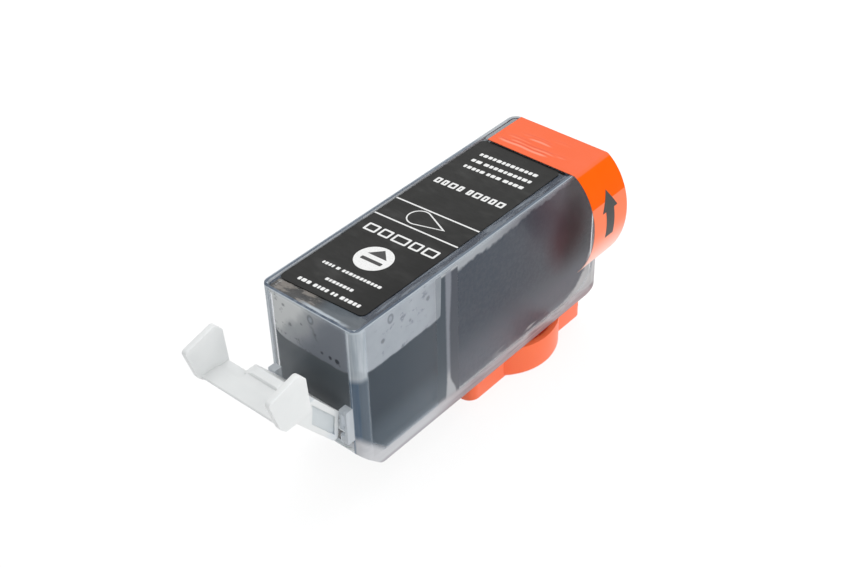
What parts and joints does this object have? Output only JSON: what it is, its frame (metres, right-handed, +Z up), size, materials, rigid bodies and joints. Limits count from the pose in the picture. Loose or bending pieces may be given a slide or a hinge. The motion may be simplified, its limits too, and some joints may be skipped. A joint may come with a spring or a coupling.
{
  "type": "inkjet ink cartridge",
  "caption": "Clear ink tank with a free-ink chamber and a foam chamber, a sprung latch lever, a contact chip, an orange pull tape over the vent and a round push-on outlet cap.",
  "frame": {"origin": "on the axis of the ink outlet, at the flat underside of the outlet cap that the cartridge stands on", "axes": "+Z up, +Y along the tank from the latch lever at the front to the pull tape at the rear, +X to the side that the pull tape's loop hangs over"},
  "size_m": [0.032, 0.098, 0.0449],
  "materials": {
    "clear_plastic": "clear injection-moulded polypropylene, slightly hazy",
    "milky_plastic": "milky translucent polypropylene, satin",
    "label_black": "near-black film with plain white print, semi-gloss",
    "orange_tape": "orange film, glossy on top",
    "orange_plastic": "orange injection-moulded plastic, satin",
    "seal_rubber": "soft moulded rubber",
    "wick_fibre": "ink-soaked fibre bundle",
    "filter_mesh": "fine steel mesh",
    "soaked_foam": "open-cell foam soaked with ink",
    "ink": "dark liquid ink",
    "circuit_board": "green circuit board",
    "chip_resin": "black potting resin",
    "adhesive": "thin adhesive pad",
    "gold": "gold-plated contact"
  },
  "bodies": {
    "tank": {"tank_body": "clear_plastic", "top_lid": "clear_plastic", "fill_plug_front": "milky_plastic", "fill_plug_rear": "milky_plastic", "label": "label_black", "pull_tab": "orange_tape", "outlet_wick": "wick_fibre", "outlet_filter": "filter_mesh", "upper_foam": "soaked_foam", "lower_foam": "soaked_foam", "ink_fill": "ink", "chip_board": "circuit_board", "chip_die": "chip_resin", "chip_adhesive": "adhesive", "chip_contact_1": "gold", "chip_contact_2": "gold", "chip_contact_3": "gold", "chip_contact_4": "gold", "chip_contact_5": "gold", "chip_contact_6": "gold", "chip_contact_7": "gold", "chip_contact_8": "gold"},
    "lever": {"latch_lever": "milky_plastic"},
    "cap": {"outlet_cap": "orange_plastic", "cap_seal": "seal_rubber"}
  },
  "joints": [
    {"name": "latch_hinge", "type": "hinge", "parent": "tank", "child": "lever", "pos_m": [0, -0.05825, 0.0204], "axis": [-1, 0, 0], "range_deg": [0, 8], "stiffness_Nm_per_rad": 0.05},
    {"name": "cap_slide", "type": "slide", "parent": "tank", "child": "cap", "axis": [0, 0, -1], "range_m": [0, 0.012]}
  ]
}
